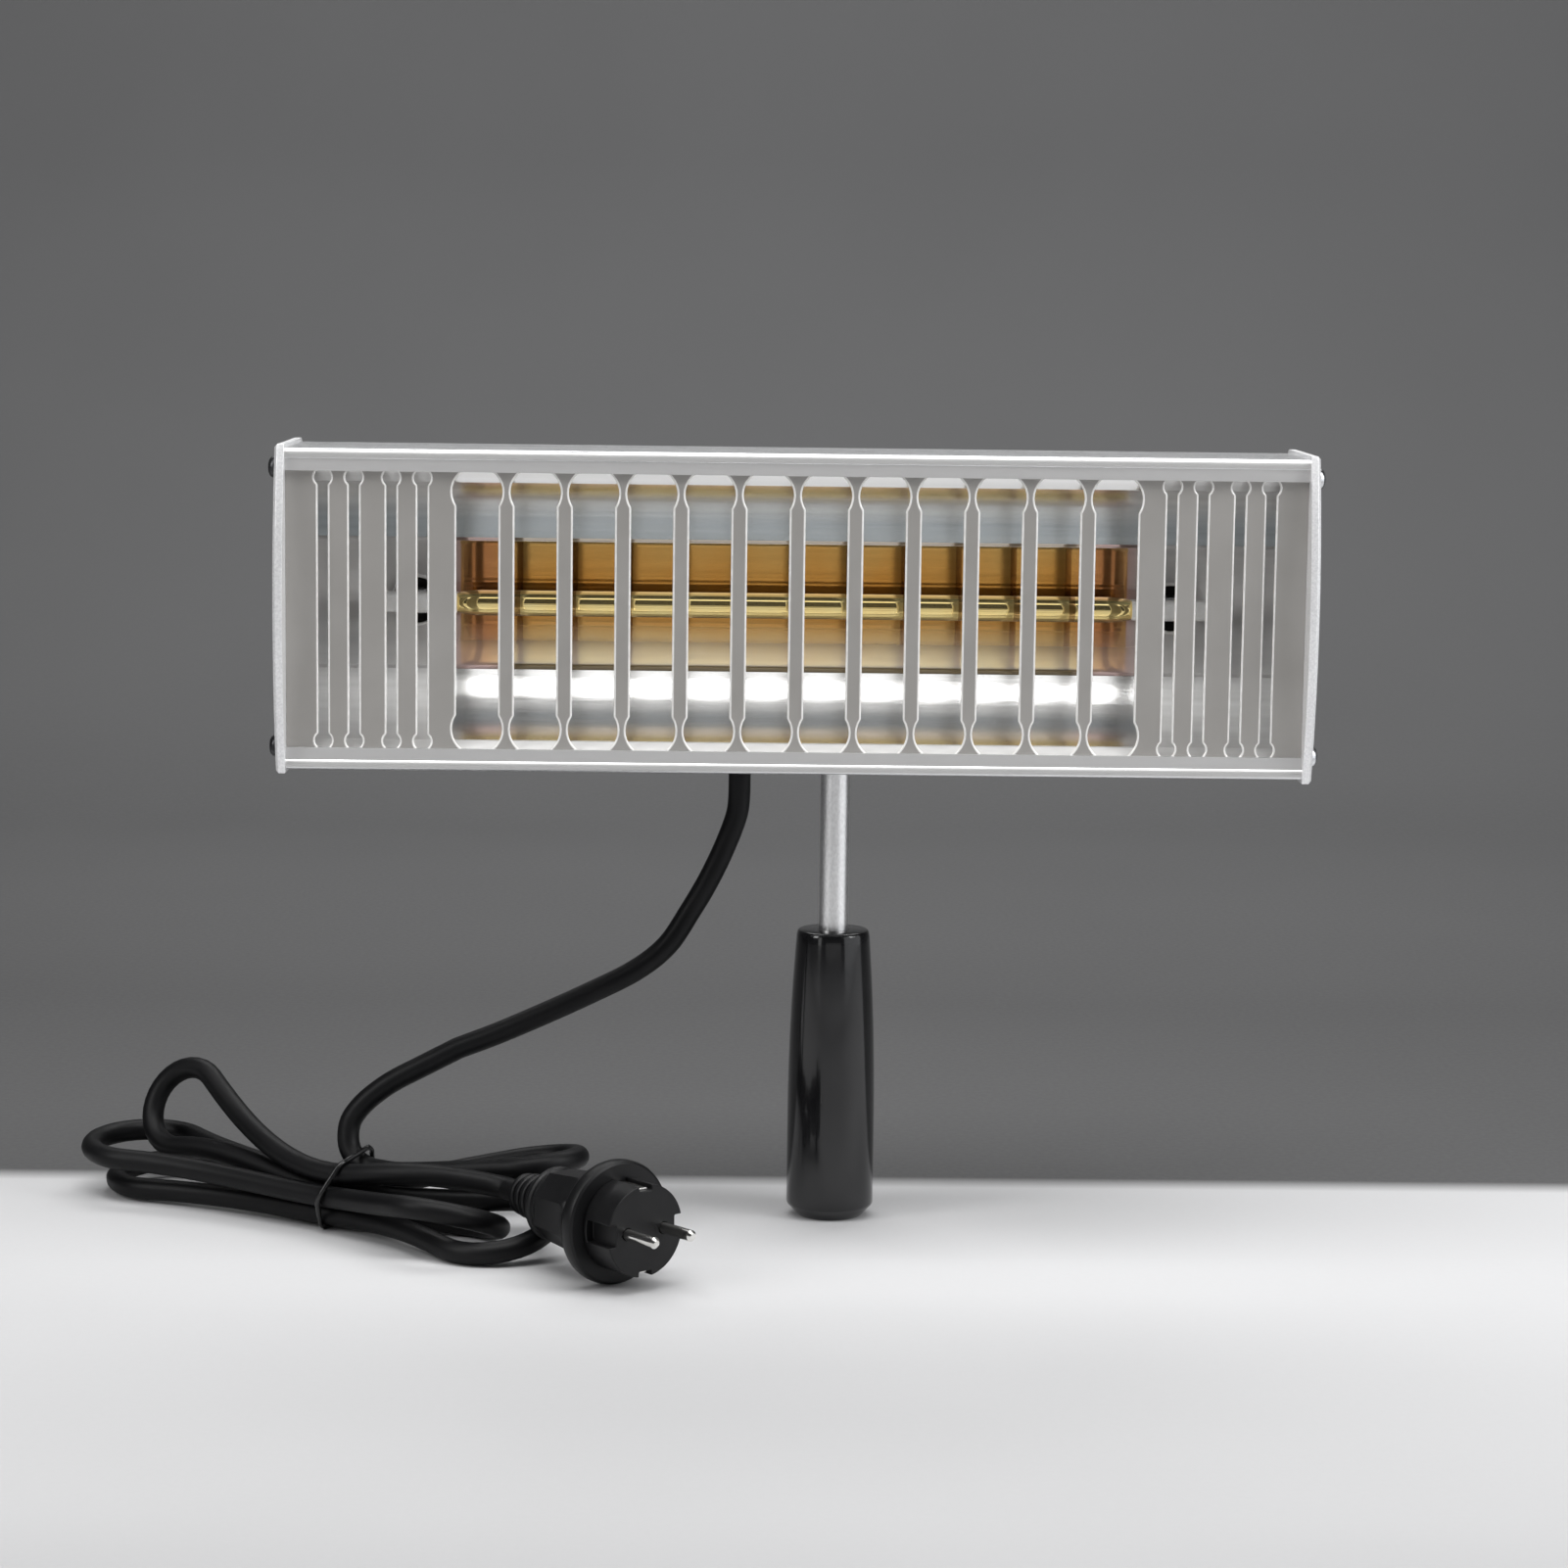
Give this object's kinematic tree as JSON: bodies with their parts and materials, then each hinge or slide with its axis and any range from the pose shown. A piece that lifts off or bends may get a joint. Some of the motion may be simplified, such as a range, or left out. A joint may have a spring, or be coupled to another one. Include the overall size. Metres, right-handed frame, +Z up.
{
  "type": "infrared paint curing lamp",
  "caption": "Hand-held infrared curing lamp: long extruded reflector head behind a slotted grille, on a tilting rod with a black grip, with a hanked mains lead and plug.",
  "frame": {"origin": "middle of the grip's flat base, on the surface that the lamp stands on", "axes": "+Z up along the rod, +X along the head to the right as seen from the lit side, -Y the way the lamp shines"},
  "size_m": [0.5332, 0.2239, 0.342],
  "materials": {
    "housing_aluminium": "extruded, satin",
    "reflector_polish": "polished to a mirror",
    "grille_sheet": "satin, bright cut edges",
    "cap_metal": "bright, fine blasted",
    "screw_black": "black oxide",
    "screw_bright": "zinc plated",
    "gold_quartz": "quartz with a gold coat",
    "filament_wire": "tungsten",
    "ceramic_white": "matt glaze",
    "spring_steel": "stainless strip",
    "lead_sleeve": "glass fibre sleeve",
    "terminal_brass": "plain",
    "black_moulding": "fine grain",
    "bracket_paint": "black powder coat",
    "washer_nylon": "natural",
    "rod_steel": "satin drawn",
    "grip_gloss": "high gloss black",
    "cord_rubber": "matt black",
    "plug_rubber": "matt black moulded",
    "tie_wire": "plastic coated wire",
    "core_sheath": "insulated cores",
    "pin_nickel": "nickel plated"
  },
  "bodies": {
    "head": {"housing": "housing_aluminium", "reflector": "reflector_polish", "grille": "grille_sheet", "end_cap_left": "cap_metal", "end_cap_right": "cap_metal", "cap_screws_left": "screw_black", "cap_screws_right": "screw_bright", "quartz_tube": "gold_quartz", "filament": "filament_wire", "filament_supports": "filament_wire", "tube_base_left": "ceramic_white", "tube_base_right": "ceramic_white", "tube_clip_left": "spring_steel", "tube_clip_right": "spring_steel", "clip_screws": "screw_bright", "lamp_lead_left": "lead_sleeve", "lamp_lead_right": "lead_sleeve", "terminal_block": "ceramic_white", "terminal_screws": "terminal_brass", "earth_stud": "terminal_brass", "junction_cover": "black_moulding", "cover_screws": "screw_bright", "gland_body": "black_moulding", "gland_nut": "black_moulding", "gland_locknut": "black_moulding", "cord_boot": "cord_rubber", "cord_inlet": "cord_rubber", "cord_cores": "core_sheath", "tilt_bracket": "bracket_paint", "bracket_screws": "screw_bright", "tilt_bolt": "screw_bright", "tilt_washers": "washer_nylon", "cord_drop": "cord_rubber", "cord_hank": "cord_rubber", "cord_tie": "tie_wire", "plug_shell": "plug_rubber", "plug_face": "plug_rubber", "plug_pins": "pin_nickel", "plug_contacts": "pin_nickel"},
    "handle": {"rod_eye": "rod_steel", "rod": "rod_steel", "rod_pin": "screw_bright", "rod_insert": "terminal_brass", "grip": "grip_gloss", "grip_screw": "screw_bright", "grip_plug": "grip_gloss"},
    "knob": {"tilt_knob": "black_moulding"}
  },
  "joints": [
    {"name": "head_tilt", "type": "hinge", "parent": "head", "child": "handle", "pos_m": [0, 0, 0.274], "axis": [1, 0, 0], "range_deg": [-10, 95]},
    {"name": "knob_turn", "type": "hinge", "parent": "head", "child": "knob", "pos_m": [0, 0, 0.274], "axis": [1, 0, 0], "range_deg": [-180, 0]}
  ]
}
